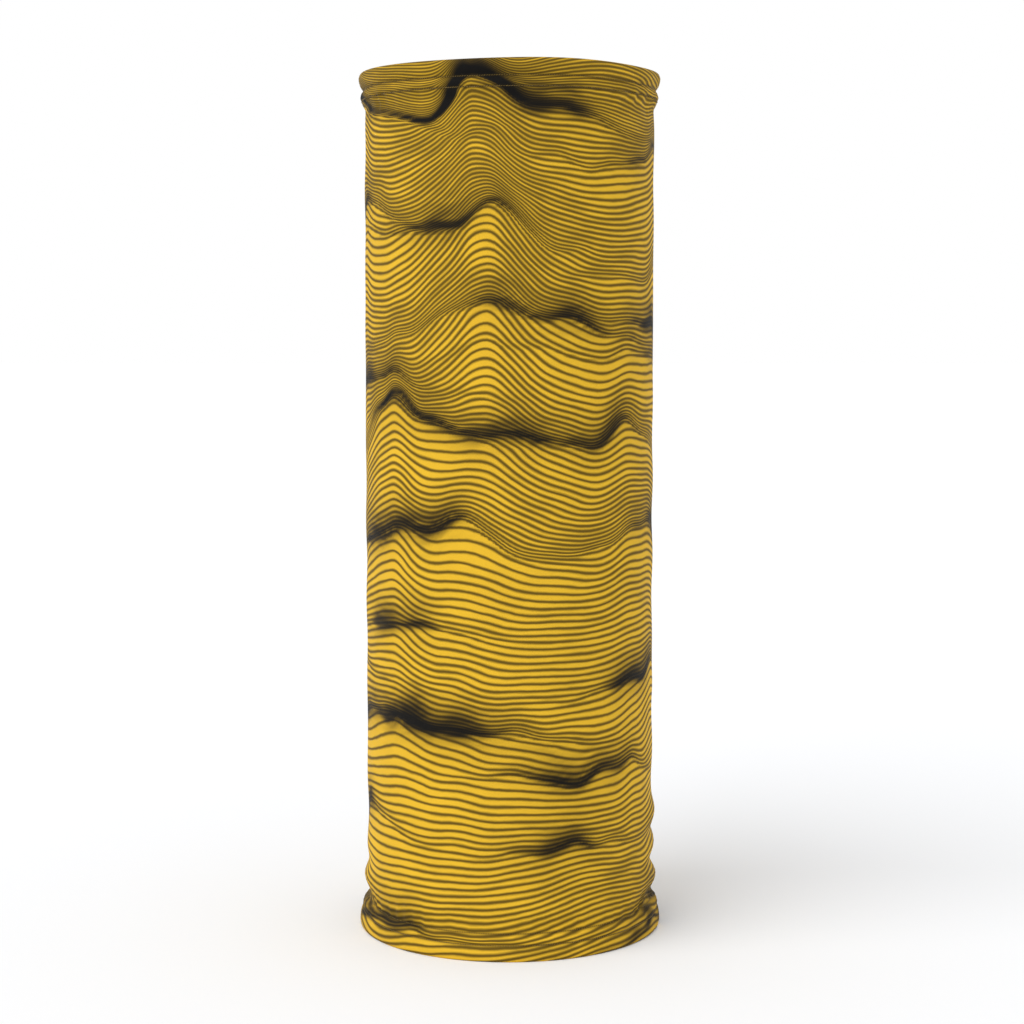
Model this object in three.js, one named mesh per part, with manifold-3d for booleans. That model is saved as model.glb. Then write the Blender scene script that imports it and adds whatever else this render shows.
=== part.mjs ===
// A neck gaiter: a tube of thin stretch knit, standing open on its lower fold.
//
// One knit panel is closed into a tube by a four-thread overlock seam down the back, and both ends are
// turned in and held by a two-needle coverstitch. A blank folded care label sits beside the seam allowance.
// Millimetres, +Z up, the front faces -Y, the seam is at +Y, and the origin is the centre of the lower fold.
//
// Two measures place everything on the tube: s, the distance along the cloth from the back seam, and
// inset, the distance inwards from the outer face of the wall. A hem is placed by its height from its fold.

import * as THREE from "three";
import { mergeVertices } from "three/addons/utils/BufferGeometryUtils.js";
import Module from "manifold-3d";

const wasm = await Module();
wasm.setup();

// The tube
const LENGTH = 460; // from fold to fold
const BODY_RADIUS = 77.5; // outer face, between the hems
const FACETS = 48; // flat strips round the tube, a multiple of 4
const CLOTH = 0.7; // thickness of the knit
const LAYER_GAP = 0.3; // air between two layers of cloth, and between cloth and thread

// The hems
const ROW_FROM_FOLD = 8.5; // first row of stitches, from the fold
const ROW_GAUGE = 6.4; // between the two needles
const RAW_EDGE_PAST_ROW = 2.1; // turned cloth beyond the second row
const PINCH = 1.2; // height of the groove that a row pulls into the cloth
const HEM_RUN_OUT = 3; // where the hem's flare fades into the plain wall

// How far the cloth stands out from the plain wall, at the places that each hem is made of
const TOP_FLARE = { fold: 2.6, shoulder: 3.2, firstRow: 1.4, roll: 2.2, secondRow: 0.1, rawEdge: -0.2 };
const BOTTOM_FLARE = { fold: 5.1, shoulder: 5.4, firstRow: 4.35, roll: 3.8, secondRow: 1.3, rawEdge: 0.7 };
const SHOULDER_SHARE = 0.3; // height of the shoulder, as a share of the first row's

// The threads
const NEEDLE_THREAD = 0.4; // thickness of a needle thread's line of stitches
const LOOPER_THREAD = 0.3; // thickness of the looper threads' web
const WEB_PAST_ROW = 0.5; // how far the hem's looper web reaches beyond its rows

// The back seam
const SLIT = 0.3; // between the panel's two side edges
const SEAM_ALLOWANCE = 6; // width of cloth past the seam line
const LEFT_NEEDLE = 1.2; // needle lines, from the seam line
const NEEDLE_SPACING = 2.2;
const SEAM_CLEAR_OF_HEM = 3; // between a turned hem's raw edge and the seam's threads

// The care label
const LABEL_WIDTH = 25; // along the tube
const LABEL_LENGTH = 30; // folded, out from the seam
const LABEL_THICKNESS = 0.3;
const LABEL_HEIGHT = 60; // its lower edge above the lower fold

const HEM_DEPTH = ROW_FROM_FOLD + ROW_GAUGE + RAW_EDGE_PAST_ROW;
const SEAM_LOW = HEM_DEPTH + SEAM_CLEAR_OF_HEM;
const SEAM_HIGH = LENGTH - SEAM_LOW;
const FACET_ANGLE = (2 * Math.PI) / FACETS;
const STEP = CLOTH + LAYER_GAP; // from one layer's outer face to the next layer's

// Insets of the layers that lie over each other at the back seam, from the wall inwards
const UNDER_WEB = STEP; // lower looper threads
const ALLOWANCE_A = UNDER_WEB + LOOPER_THREAD + LAYER_GAP;
const ALLOWANCE_B = ALLOWANCE_A + STEP;
const OVER_WEB = ALLOWANCE_B + STEP; // needle lines and upper looper threads

// A closed BufferGeometry as a manifold-3d solid.
function solid(geometry) {
  const bare = new THREE.BufferGeometry().setAttribute("position", geometry.getAttribute("position"));
  if (geometry.index) bare.setIndex(geometry.index);
  const merged = mergeVertices(bare, 1e-4);
  return new wasm.Manifold(
    new wasm.Mesh({
      numProp: 3,
      vertProperties: merged.attributes.position.array,
      triVerts: new Uint32Array(merged.index.array),
    }),
  );
}

// A manifold-3d solid as a BufferGeometry.
function geometryOf(body) {
  const mesh = body.getMesh();
  const geometry = new THREE.BufferGeometry();
  geometry.setAttribute("position", new THREE.BufferAttribute(mesh.vertProperties.slice(), 3));
  geometry.setIndex(new THREE.BufferAttribute(mesh.triVerts.slice(), 1));
  geometry.computeVertexNormals();
  return geometry;
}

// A closed outline of [radius, height] points, turned once round the tube's axis.
function revolved(outline) {
  const points = [...outline, outline[0]].map(([r, z]) => new THREE.Vector2(r, z));
  return new THREE.LatheGeometry(points, FACETS).rotateX(Math.PI / 2);
}

// The faceted wall's distance from the axis where a round one's would be radius.
function onFacet(radius, angle) {
  const inFacet = angle - FACET_ANGLE * Math.floor(angle / FACET_ANGLE) - FACET_ANGLE / 2;
  return (radius * Math.cos(FACET_ANGLE / 2)) / Math.cos(inFacet);
}

// The point at s along the cloth from the seam and at an inset from the wall's outer face.
function seamPoint(s, inset) {
  const angle = s / BODY_RADIUS;
  const r = onFacet(BODY_RADIUS - inset, angle);
  return new THREE.Vector2(r * Math.sin(angle), r * Math.cos(angle));
}

// Points along the cloth at one inset from s0 to s1, with one at each facet's corner between them.
function along(s0, s1, inset) {
  const corner = FACET_ANGLE * BODY_RADIUS;
  const stops = [s0];
  for (let k = Math.ceil(s0 / corner); k * corner < s1; k += 1) {
    if (k * corner > s0) stops.push(k * corner);
  }
  stops.push(s1);
  return stops.map((s) => seamPoint(s, inset));
}

// A strip of the cloth's own curve between two values of s and two insets.
function strip(s0, s1, outerInset, innerInset) {
  return [...along(s0, s1, outerInset), ...along(s0, s1, innerInset).reverse()];
}

// A closed outline in plan, standing from height low to height high.
function standing(outline, low, high) {
  const shape = new THREE.Shape(outline);
  return new THREE.ExtrudeGeometry(shape, { depth: high - low, bevelEnabled: false }).translate(0, 0, low);
}

// The hem's outer face as [height from the fold, flare] points, from the fold to where the flare ends.
function hemLine(flare) {
  const secondRow = ROW_FROM_FOLD + ROW_GAUGE;
  return [
    [0, flare.fold],
    [ROW_FROM_FOLD * SHOULDER_SHARE, flare.shoulder],
    [ROW_FROM_FOLD - PINCH / 2, flare.firstRow],
    [ROW_FROM_FOLD + PINCH / 2, flare.firstRow],
    [ROW_FROM_FOLD + ROW_GAUGE / 2, flare.roll],
    [secondRow - PINCH / 2, flare.secondRow],
    [secondRow + PINCH / 2, flare.secondRow],
    [HEM_DEPTH, flare.rawEdge],
    [HEM_DEPTH + HEM_RUN_OUT, 0],
  ];
}

// The hem line between two heights, with a point at each of them.
function hemSpan(flare, low, high) {
  const line = hemLine(flare);
  const at = (h) => {
    const k = Math.max(1, line.findIndex(([height]) => height >= h));
    const [[h0, f0], [h1, f1]] = [line[k - 1], line[k]];
    return [h, f0 + ((f1 - f0) * (h - h0)) / (h1 - h0)];
  };
  return [at(low), ...line.filter(([h]) => h > low + 1e-6 && h < high - 1e-6), at(high)];
}

// Outline points of one face of a hem: the span of its line, at an inset, with heights from the lower fold.
function hemFace(hem, low, high, inset) {
  return hemSpan(hem.flare, low, high).map(([h, flare]) => [BODY_RADIUS + flare - inset, hem.height(h)]);
}

const BOTTOM_HEM = { name: "bottom_hem", flare: BOTTOM_FLARE, height: (h) => h };
const TOP_HEM = { name: "top_hem", flare: TOP_FLARE, height: (h) => LENGTH - h };

// The folded cloth as one closed outline: out over the wall, in through both turned layers.
function panelOutline() {
  const wallTop = HEM_DEPTH + HEM_RUN_OUT;
  const outside = [
    ...hemFace(BOTTOM_HEM, 0, wallTop, 0),
    ...hemFace(TOP_HEM, 0, wallTop, 0).reverse(),
  ];
  const turnedIn = (hem) => [
    ...hemFace(hem, 0, HEM_DEPTH, STEP + CLOTH), // inner face of the turned layer, fold to raw edge
    ...hemFace(hem, CLOTH, HEM_DEPTH, STEP).reverse(), // its outer face, raw edge to fold
    ...hemFace(hem, CLOTH, wallTop, CLOTH), // inner face of the wall
  ];
  return [...outside, ...turnedIn(TOP_HEM), ...turnedIn(BOTTOM_HEM).reverse()];
}

// One side edge of the panel, bent inwards at the seam line and pressed to the side: a leg and a flap.
function allowance(legFrom, legTo, inset) {
  const embedded = CLOTH / 7; // the leg starts inside the wall, so that the two are one body
  const leg = strip(legFrom, legTo, embedded, inset + CLOTH);
  const flap = strip(legFrom, SEAM_ALLOWANCE, inset, inset + CLOTH);
  return [leg, flap].map((outline) => solid(standing(outline, SEAM_LOW, SEAM_HIGH)));
}

function bodyPanel() {
  const wall = solid(revolved(panelOutline()));
  const reach = 2 * BODY_RADIUS;
  const slit = new THREE.BoxGeometry(SLIT, reach, 2 * LENGTH).translate(0, reach / 2, 0);
  const edge = SLIT / 2;
  const pieces = [
    ...allowance(edge, edge + CLOTH, ALLOWANCE_A),
    ...allowance(-edge - CLOTH, -edge, ALLOWANCE_B),
  ];
  return geometryOf(pieces.reduce((body, piece) => body.add(piece), wall.subtract(solid(slit))));
}

// A needle thread's line round a hem, lying over its row.
function rowThread(hem, rowHeight, flare) {
  const inner = BODY_RADIUS + flare + LAYER_GAP;
  const middle = hem.height(rowHeight);
  const half = NEEDLE_THREAD / 2;
  return revolved([
    [inner, middle - half],
    [inner + NEEDLE_THREAD, middle - half],
    [inner + NEEDLE_THREAD, middle + half],
    [inner, middle + half],
  ]);
}

// The looper thread's web on the inside of a hem, from one row to the other.
function hemWeb(hem) {
  const low = ROW_FROM_FOLD - WEB_PAST_ROW;
  const high = ROW_FROM_FOLD + ROW_GAUGE + WEB_PAST_ROW;
  const outerInset = 2 * STEP;
  const outer = hemFace(hem, low, high, outerInset);
  const inner = hemFace(hem, low, high, outerInset + LOOPER_THREAD);
  const outline = [...outer, ...inner.reverse()];
  return revolved(hem === TOP_HEM ? outline.reverse() : outline);
}

// A needle thread's line on the seam allowance.
function seamThread(s) {
  const half = NEEDLE_THREAD / 2;
  return standing(strip(s - half, s + half, OVER_WEB, OVER_WEB + NEEDLE_THREAD), SEAM_LOW, SEAM_HIGH);
}

// A looper thread's web over one face of the allowances, and its share of the wrap over their raw edges.
function seamWeb(from, inset, edgeOuter, edgeInner) {
  const wrapFrom = SEAM_ALLOWANCE + LAYER_GAP;
  const wrapTo = wrapFrom + LOOPER_THREAD;
  const web = solid(standing(strip(from, wrapTo, inset, inset + LOOPER_THREAD), SEAM_LOW, SEAM_HIGH));
  const wrap = solid(standing(strip(wrapFrom, wrapTo, edgeOuter, edgeInner), SEAM_LOW, SEAM_HIGH));
  return geometryOf(web.add(wrap));
}

// A ribbon folded in half, its open end at the wrapped raw edges.
function careLabel() {
  const from = SEAM_ALLOWANCE + LAYER_GAP + LOOPER_THREAD + LAYER_GAP;
  const to = from + LABEL_LENGTH;
  const second = UNDER_WEB + LABEL_THICKNESS + LAYER_GAP;
  const outline = [
    ...along(from, to, UNDER_WEB),
    ...along(from, to, second + LABEL_THICKNESS).reverse(),
    ...along(from, to - LABEL_THICKNESS, second),
    ...along(from, to - LABEL_THICKNESS, UNDER_WEB + LABEL_THICKNESS).reverse(),
  ];
  return standing(outline, LABEL_HEIGHT, LABEL_HEIGHT + LABEL_WIDTH);
}

const knit = new THREE.MeshStandardMaterial({ color: 0xf0c446, roughness: 0.85, metalness: 0 });
const thread = new THREE.MeshStandardMaterial({ color: 0xc79a2e, roughness: 0.6, metalness: 0 });
const label = new THREE.MeshStandardMaterial({ color: 0xf2f1ec, roughness: 0.5, metalness: 0 });

const gaiter = new THREE.Group();

function add(name, geometry, material) {
  const mesh = new THREE.Mesh(geometry, material);
  mesh.name = name;
  gaiter.add(mesh);
}

add("body_panel", bodyPanel(), knit);

for (const hem of [TOP_HEM, BOTTOM_HEM]) {
  const secondRow = ROW_FROM_FOLD + ROW_GAUGE;
  add(`${hem.name}_needle_thread_outer`, rowThread(hem, ROW_FROM_FOLD, hem.flare.firstRow), thread);
  add(`${hem.name}_needle_thread_inner`, rowThread(hem, secondRow, hem.flare.secondRow), thread);
  add(`${hem.name}_looper_thread`, hemWeb(hem), thread);
}

const rightNeedle = LEFT_NEEDLE + NEEDLE_SPACING;
const overWebFrom = rightNeedle + NEEDLE_THREAD / 2 + LAYER_GAP;
const wrapMiddle = ALLOWANCE_A + CLOTH;
add("back_seam_needle_thread_left", seamThread(LEFT_NEEDLE), thread);
add("back_seam_needle_thread_right", seamThread(rightNeedle), thread);
add(
  "back_seam_upper_looper_thread",
  seamWeb(overWebFrom, OVER_WEB, wrapMiddle + LAYER_GAP, OVER_WEB + LOOPER_THREAD),
  thread,
);
add("back_seam_lower_looper_thread", seamWeb(LEFT_NEEDLE, UNDER_WEB, UNDER_WEB, wrapMiddle), thread);
add("care_label", careLabel(), label);

export default gaiter;
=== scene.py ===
"""A neck gaiter for skiing and snowboarding, dressed for rendering round its packed CAD model.

A tube of thin printed knit stands on its lower fold. Both ends are turned in and coverstitched, and an
overlock seam closes the tube at the back. Every piece is first made on a plain cylinder, where its place
is three measures: around (along the cloth from the front, to the right), inset (inwards from the wall's
outer face) and height. settle() then gives all of them the same flare, folds and puckers, so
that thread and cloth stay together. Lengths in the settings are millimetres, and meshes are in metres.
"""

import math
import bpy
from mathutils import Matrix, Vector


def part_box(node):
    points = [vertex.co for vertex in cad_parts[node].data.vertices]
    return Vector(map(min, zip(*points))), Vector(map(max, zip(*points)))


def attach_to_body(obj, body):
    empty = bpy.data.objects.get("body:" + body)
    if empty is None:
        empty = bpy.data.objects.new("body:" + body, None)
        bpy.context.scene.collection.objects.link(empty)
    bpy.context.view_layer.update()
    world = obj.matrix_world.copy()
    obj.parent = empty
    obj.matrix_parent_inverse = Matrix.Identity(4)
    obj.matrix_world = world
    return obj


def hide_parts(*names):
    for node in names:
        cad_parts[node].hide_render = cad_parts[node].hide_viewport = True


bl_info = {
    "name": "Neck Gaiter",
    "version": (1, 0, 0),
    "blender": (4, 5, 0),
    "location": "View3D > Sidebar > Gaiter",
    "description": "Builds a printed knit neck gaiter with its hems, stitches, back seam and care label",
    "category": "Add Mesh",
}

import bmesh
import bpy
import numpy as np
from mathutils import Matrix, Vector

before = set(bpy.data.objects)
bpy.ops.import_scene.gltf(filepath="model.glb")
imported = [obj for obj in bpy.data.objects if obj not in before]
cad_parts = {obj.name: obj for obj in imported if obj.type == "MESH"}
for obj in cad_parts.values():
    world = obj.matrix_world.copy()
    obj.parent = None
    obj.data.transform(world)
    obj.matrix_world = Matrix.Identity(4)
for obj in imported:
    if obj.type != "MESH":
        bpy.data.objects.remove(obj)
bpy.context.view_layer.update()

MM = 0.001
FULL_TURN = 2 * math.pi

# ---------------------------------------------------------------------------------------------
# Places that come from the CAD model, in millimetres
# ---------------------------------------------------------------------------------------------


def box_mm(node):
    low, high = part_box(node)
    return low / MM, high / MM


HEIGHT = box_mm("body_panel")[1].z
LOOPER_BAND = box_mm("back_seam_lower_looper_thread")
SEAM_LOW, SEAM_HIGH = LOOPER_BAND[0].z, LOOPER_BAND[1].z
STEP = 1.0  # from one layer's outer face to the next layer's: 0.7 of cloth and 0.3 of air
RADIUS = math.hypot(LOOPER_BAND[0].x, LOOPER_BAND[1].y) + STEP  # the lower looper lies one step inside


def row_from_fold(node, fold):
    low, high = box_mm(node)
    return abs((low.z + high.z) / 2 - fold)


OUTER_ROW = row_from_fold("bottom_hem_needle_thread_outer", 0)
INNER_ROW = row_from_fold("bottom_hem_needle_thread_inner", 0)
HEM_DEPTH = INNER_ROW + 2.1
HALF_ROUND = math.pi * RADIUS  # along the cloth, from the front to the back seam

# ---------------------------------------------------------------------------------------------
# The shape that the cloth stands in
# ---------------------------------------------------------------------------------------------

# The hems' flare as (height, rise) points: how far the wall stands out from the plain cylinder
FLARE = [
    (-2, 4.9), (0, 5.0), (2.4, 5.4), (6.2, 5.0), (OUTER_ROW, 4.1), (11.3, 4.0), (13.2, 3.0),
    (INNER_ROW, 1.1), (18.2, 0.7), (24, 0.9), (34, 0.5), (60, 0.6), (150, 0.3), (330, 0),
    (430, -0.2), (HEIGHT - 19.0, -0.5), (HEIGHT - 17.2, 0.4), (HEIGHT - INNER_ROW, 1.7),
    (HEIGHT - 12.4, 2.2), (HEIGHT - 10.8, 1.9), (HEIGHT - OUTER_ROW, 1.0), (HEIGHT - 5.2, 2.6),
    (HEIGHT - 2.2, 3.2), (HEIGHT, 2.5), (HEIGHT + 2, 2.3),
]

# Slack folds: around, height, tilt in degrees, half length, half width, rise
FOLDS = [
    (128, 62.5, 4, 32, 6.5, 1.5), (124, 53.5, 6, 28, 5.0, -1.2), (126, 44, 3, 36, 6.0, 1.9),
    (122, 36.5, -2, 34, 4.6, -1.3), (116, 27.5, -5, 40, 5.6, 2.0), (110, 18.6, 8, 30, 3.2, -1.6),
    (84, 15.0, 32, 13, 3.4, -0.7), (70, 20, 26, 18, 4.5, 0.7), (96, 10, 40, 9, 3.4, 0.4),
    (-122, 26.5, 0, 28, 5.4, 2.1), (-120, 37, 3, 24, 4.6, -0.8), (-116, 18, -6, 28, 2.8, -1.4),
    (-70, 22, -14, 26, 5.0, 0.7), (-58, 30, -20, 22, 5.0, -0.5), (-20, 20, 6, 22, 3.2, -0.5),
    (30, 24, -8, 30, 5.5, 0.6), (44, 33, 4, 26, 6.0, -0.4), (128, 132, 2, 24, 9, 0.5),
    (0, 426, 3, 34, 7.0, -0.35), (-64, 430, -10, 22, 6.0, 0.45), (66, 432, 8, 24, 6.0, 0.4),
    (176, 84, -8, 34, 9, 1.4), (190, 66, -5, 30, 6, -1.2), (168, 50, 6, 34, 8, 1.5),
    (200, 33, 4, 32, 6, 1.4), (180, 24, -4, 28, 4, -1.2), (-178, 96, 10, 30, 8, 1.2),
    (-192, 72, 8, 30, 6, -1.0), (-172, 55, -4, 34, 8, 1.5), (-202, 38, -6, 30, 6, 1.3),
    (-176, 25, 4, 28, 4.4, -1.2), (-226, 120, 24, 26, 7, 0.9), (224, 140, -28, 28, 7, 0.8),
    (215, 412, -20, 26, 7, -0.7), (-210, 418, 16, 26, 7, 0.8),
]
PUCKER_LENGTH = 8.0  # between the ripples that the rows of stitches pull into the cloth


def smooth_line(points, at):
    """A cubic through (place, value) points that doesn't overshoot, level beyond its ends."""
    x, y = np.array(points, float).T
    slope = np.diff(y) / np.diff(x)
    tangent = np.zeros_like(y)
    same = slope[:-1] * slope[1:] > 0
    tangent[1:-1][same] = (2 * slope[:-1] * slope[1:] / (slope[:-1] + slope[1:] + 1e-12))[same]
    at = np.clip(at, x[0], x[-1])
    k = np.clip(np.searchsorted(x, at, side="right") - 1, 0, len(x) - 2)
    span = x[k + 1] - x[k]
    t = (at - x[k]) / span
    return (
        (1 + 2 * t) * (1 - t) ** 2 * y[k]
        + t * (1 - t) ** 2 * span * tangent[k]
        + t * t * (3 - 2 * t) * y[k + 1]
        + t * t * (t - 1) * span * tangent[k + 1]
    )


def waves(a, b, seed, count, length_a, length_b):
    """Smooth noise of about unit height: seeded waves about length_a long one way and length_b the other."""
    rng = np.random.default_rng(seed)
    total = np.zeros(np.broadcast(a, b).shape)
    for _ in range(count):
        la = length_a * rng.uniform(0.5, 2.0) * rng.choice([-1, 1])
        lb = length_b * rng.uniform(0.5, 2.0)
        total += np.sin(FULL_TURN * (a / la + b / lb) + rng.uniform(0, FULL_TURN))
    return total / math.sqrt(count / 2)


def tube_waves(around, height, seed, count, length, up_length):
    """The same noise, but closing round the tube: each wave has a whole number of crests."""
    rng = np.random.default_rng(seed)
    total = np.zeros(np.broadcast(around, height).shape)
    for _ in range(count):
        crests = max(1, round(2 * HALF_ROUND / (length * rng.uniform(0.7, 1.5)))) * rng.choice([-1, 1])
        turn = crests * around / RADIUS + FULL_TURN * height / (up_length * rng.uniform(0.7, 1.5))
        total += np.sin(turn + rng.uniform(0, FULL_TURN))
    return total / math.sqrt(count / 2)


def bell(x, half):
    return np.exp(-((x / half) ** 2))


def lift(around, height, shape):
    """How far the cloth stands out from the plain cylinder, in millimetres."""
    rise = smooth_line(FLARE, height)
    for at, level, tilt, half_length, half_width, fold in FOLDS:
        turn = math.radians(tilt)
        a = (around - at + HALF_ROUND) % (2 * HALF_ROUND) - HALF_ROUND
        h = height - level
        along = a * math.cos(turn) + h * math.sin(turn)
        across = h * math.cos(turn) - a * math.sin(turn)
        rise = rise + shape.fold_depth * fold * bell(along, half_length) * bell(across, half_width)
    # an easy unevenness all over, stronger where the slack gathers low down
    slack = 0.22 + 0.55 * np.exp(-np.abs(height - 45) / 45)
    rise = rise + slack * 0.5 * tube_waves(around, height, 3, 18, 130, 46) * shape.fold_depth
    rise = rise + 0.35 * tube_waves(around, height, 8, 4, 160, 900)
    # ripples beside the rows of stitches, dying away into the free cloth
    for fold, seed in ((0, 11), (HEIGHT, 17)):
        from_fold = np.abs(height - fold)
        reach = 0.45 * bell(from_fold - (OUTER_ROW + INNER_ROW) / 2, 3.0)
        reach = reach + np.where(from_fold > INNER_ROW, bell(from_fold - INNER_ROW, 9.0), 0)
        ripple = tube_waves(around, height, seed, 14, PUCKER_LENGTH, 60)
        rise = rise + shape.pucker_depth * reach * ripple
        rise = rise - 0.38 * (bell(from_fold - OUTER_ROW, 1.0) + bell(from_fold - INNER_ROW, 1.0))
    # the back seam draws its two edges inwards, and gathers a little along its length
    from_seam = HALF_ROUND - np.abs(around)
    gather = waves(height, 0 * height, 29, 10, 24, 50)
    rise = rise - 0.85 * bell(from_seam, 1.25) - 0.35 * bell(from_seam, 5.0)
    return rise + shape.pucker_depth * gather * bell(from_seam - 4, 8.0)


def settle(obj, shape):
    """Moves a mesh from the plain cylinder to the shape that the cloth stands in."""
    mesh = obj.data
    co = np.empty(len(mesh.vertices) * 3)
    mesh.vertices.foreach_get("co", co)
    x, y, z = co.reshape(-1, 3).T / MM
    radius = np.hypot(x, y)
    angle = np.arctan2(x, -y)
    grown = radius + lift(RADIUS * angle, z, shape)
    # the inner rows are drawn towards their folds
    z = z + 1.0 * (bell(z - (HEIGHT - INNER_ROW), 4.0) - bell(z - INNER_ROW, 4.0))
    # the upper fold's edge isn't quite level, and the lower one lies on the floor
    edge = 0.35 * tube_waves(RADIUS * angle, z, 5, 6, 110, 900) * np.clip((z - HEIGHT + 40) / 40, 0, 1)
    settled = np.stack([grown * np.sin(angle), -grown * np.cos(angle), z + edge], 1) * MM
    mesh.vertices.foreach_set("co", settled.astype(np.float32).ravel())
    mesh.update()


# ---------------------------------------------------------------------------------------------
# The print: lines that follow a generic range of hills, placed by seeded chance
# ---------------------------------------------------------------------------------------------

PRINT_SEED = 15
ROW_GAP = 52  # between one row of hills and the next, up the cloth
HILL_GAP = 112  # between the hills of a row
# The distance between level lines, as (height, gap)
LINE_GAPS = [(-40, 3.3), (40, 3.1), (110, 3.4), (180, 3.2), (260, 2.7), (330, 3.1), (400, 2.3), (430, 1.8)]
COLUMN_STEP = 1.25
ROW_STEP = 0.5
GRID_AROUND = np.arange(-250.0, 250.5, COLUMN_STEP)
GRID_HEIGHT = np.arange(-50.0, 520.5, ROW_STEP)
STROKE_REACH = 26  # no stroke's shadow goes further from its crest


def hill_range():
    """The hills, the lowest and nearest row first, each as its settings."""
    rng = np.random.default_rng(PRINT_SEED)
    hills = []
    for foot in np.arange(-60, HEIGHT, ROW_GAP):
        tall = 0.32 + 0.68 * np.clip(foot / HEIGHT, 0, 1)  # the ground is calmer in front
        at = -HALF_ROUND - rng.uniform(0, HILL_GAP)
        while at < HALF_ROUND + HILL_GAP / 2:
            hills.append({
                "at": at,
                "foot": foot + rng.uniform(-18, 18),
                "rise": tall * rng.uniform(9, 46),
                "half_width": rng.uniform(28, 64),
                "lean": rng.uniform(-0.55, 0.55),
                "stroke": rng.uniform(0.15, 1.0),
                "seed": int(rng.integers(1, 100000)),
            })
            at += HILL_GAP * rng.uniform(0.6, 1.5)
    return hills


def hill_lines(hill):
    """A hill's crest, its rise and the width of its stroke, at each place round the grid."""
    away = (GRID_AROUND - hill["at"]) / hill["half_width"]
    away = away * (1 + hill["lean"] * np.tanh(2 * away))
    uneven = waves(GRID_AROUND, 0 * GRID_AROUND, hill["seed"], 10, 48, 9)
    rise = hill["rise"] * np.exp(-(np.abs(away) ** 1.5)) * (1 + 0.08 * uneven)
    crest = hill["foot"] + rise + 1.1 * uneven
    shaded_side = -0.5 if hill["lean"] > 0 else 0.5
    pressure = 1 + 0.22 * waves(GRID_AROUND, 0 * GRID_AROUND, hill["seed"] + 1, 8, 44, 9)
    width = 4.8 * hill["stroke"] * bell(away - shaded_side, 0.62) * pressure
    return crest, rise, np.maximum(width, 0)


def print_grid():
    """The number of lines below each point of the cloth, and the shadow there, on a grid."""
    around, height = GRID_AROUND[None, :], GRID_HEIGHT[:, None]
    level = height + 0.4 * waves(around, height, 9, 16, 60, 40)
    fine = np.arange(-120.0, 560.0, 0.5)
    light = np.ones_like(level)
    # a hill lifts the lines below its crest and crowds those of the hills behind it, so the nearest
    # hill is undone first, and each later one is found where it would be without those before it
    for hill in hill_range():
        crest, rise, width = hill_lines(hill)
        near = np.flatnonzero(rise > 0.15)
        darken(light, level, near, crest[near], width[near], hill["seed"])
        for j in near:
            from_foot = fine - (crest[j] - rise[j])
            fade = np.where(from_foot < 0, from_foot / (1.5 * rise[j] + 14), -from_foot / (1.16 * rise[j]))
            level[:, j] = np.interp(level[:, j], fine + rise[j] * np.exp(fade), fine)
    # the ground behind the hills swells a little too
    level = level + 5.0 * waves(around, level, 23, 14, 190, 260)
    lines = np.interp(level, fine, np.cumsum(0.5 / smooth_line(LINE_GAPS, fine)))
    # crowded lines open gradually, so that the cloth's mesh can carry them
    for reach, soft in ((4, 2.6), (2, 1.2)):
        kernel = np.exp(-((np.arange(-reach, reach + 1) / soft) ** 2))
        padded = np.pad(lines, ((reach, reach), (0, 0)), "reflect", reflect_type="odd")
        lines = sum(w * padded[k:k + len(lines)] for k, w in enumerate(kernel / kernel.sum())).T
    return lines, 1 - light


def darken(light, level, near, crest, width, seed):
    """Darkens a soft stroke along a crest, made of strands that run with it, and a haze behind it."""
    above = level[:, near] - crest[None, :]
    rows = np.flatnonzero((np.abs(above) < STROKE_REACH).any(axis=1))
    above = above[rows]
    at = GRID_AROUND[near][None, :]
    size = np.maximum(width, 0.2)[None, :]
    strands = np.clip(1 + 0.3 * waves(at, above, seed + 2, 12, 55, 5.5), 0, 2)
    frayed = (above + 0.2 * size * waves(at, 0 * at, seed + 3, 12, 26, 9)) / size
    core = np.exp(-(np.abs(np.where(frayed > 0, frayed / 1.5, frayed / 0.62)) ** 1.5))
    weight = np.clip(width / 2.6, 0, 1)[None, :] ** 1.2
    ink = 3.2 * core * strands * weight + 0.5 * bell(above - 4, 11) * strands * weight
    light[np.ix_(rows, near)] *= np.exp(-ink)


def on_grid(grid, around, along):
    """The grid's value between its points."""
    i = np.clip((along - GRID_HEIGHT[0]) / ROW_STEP, 0, len(GRID_HEIGHT) - 1.001)
    j = np.clip((around - GRID_AROUND[0]) / COLUMN_STEP, 0, len(GRID_AROUND) - 1.001)
    i0, j0 = i.astype(int), j.astype(int)
    fi, fj = i - i0, j - j0
    low = grid[i0, j0] * (1 - fj) + grid[i0, j0 + 1] * fj
    high = grid[i0 + 1, j0] * (1 - fj) + grid[i0 + 1, j0 + 1] * fj
    return low * (1 - fi) + high * fi


# ---------------------------------------------------------------------------------------------
# Mesh making
# ---------------------------------------------------------------------------------------------


def on_tube(around, inset, height):
    """The point on the plain cylinder, in metres."""
    angle = around / RADIUS
    radius = RADIUS - inset
    return Vector((radius * math.sin(angle), -radius * math.cos(angle), height)) * MM


def new_piece(name, bm, material, smooth=True):
    """Turns a bmesh into an object at the origin."""
    mesh = bpy.data.meshes.new(name)
    bm.to_mesh(mesh)
    bm.free()
    if smooth:
        mesh.shade_smooth()
    mesh.materials.append(material)
    obj = bpy.data.objects.new(name, mesh)
    bpy.context.scene.collection.objects.link(obj)
    return obj


def attach(obj, slot, *nodes):
    """Ties a piece to the body and hides the CAD nodes that it stands for. Its slot is not used."""
    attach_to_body(obj, "root")
    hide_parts(*nodes)


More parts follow.
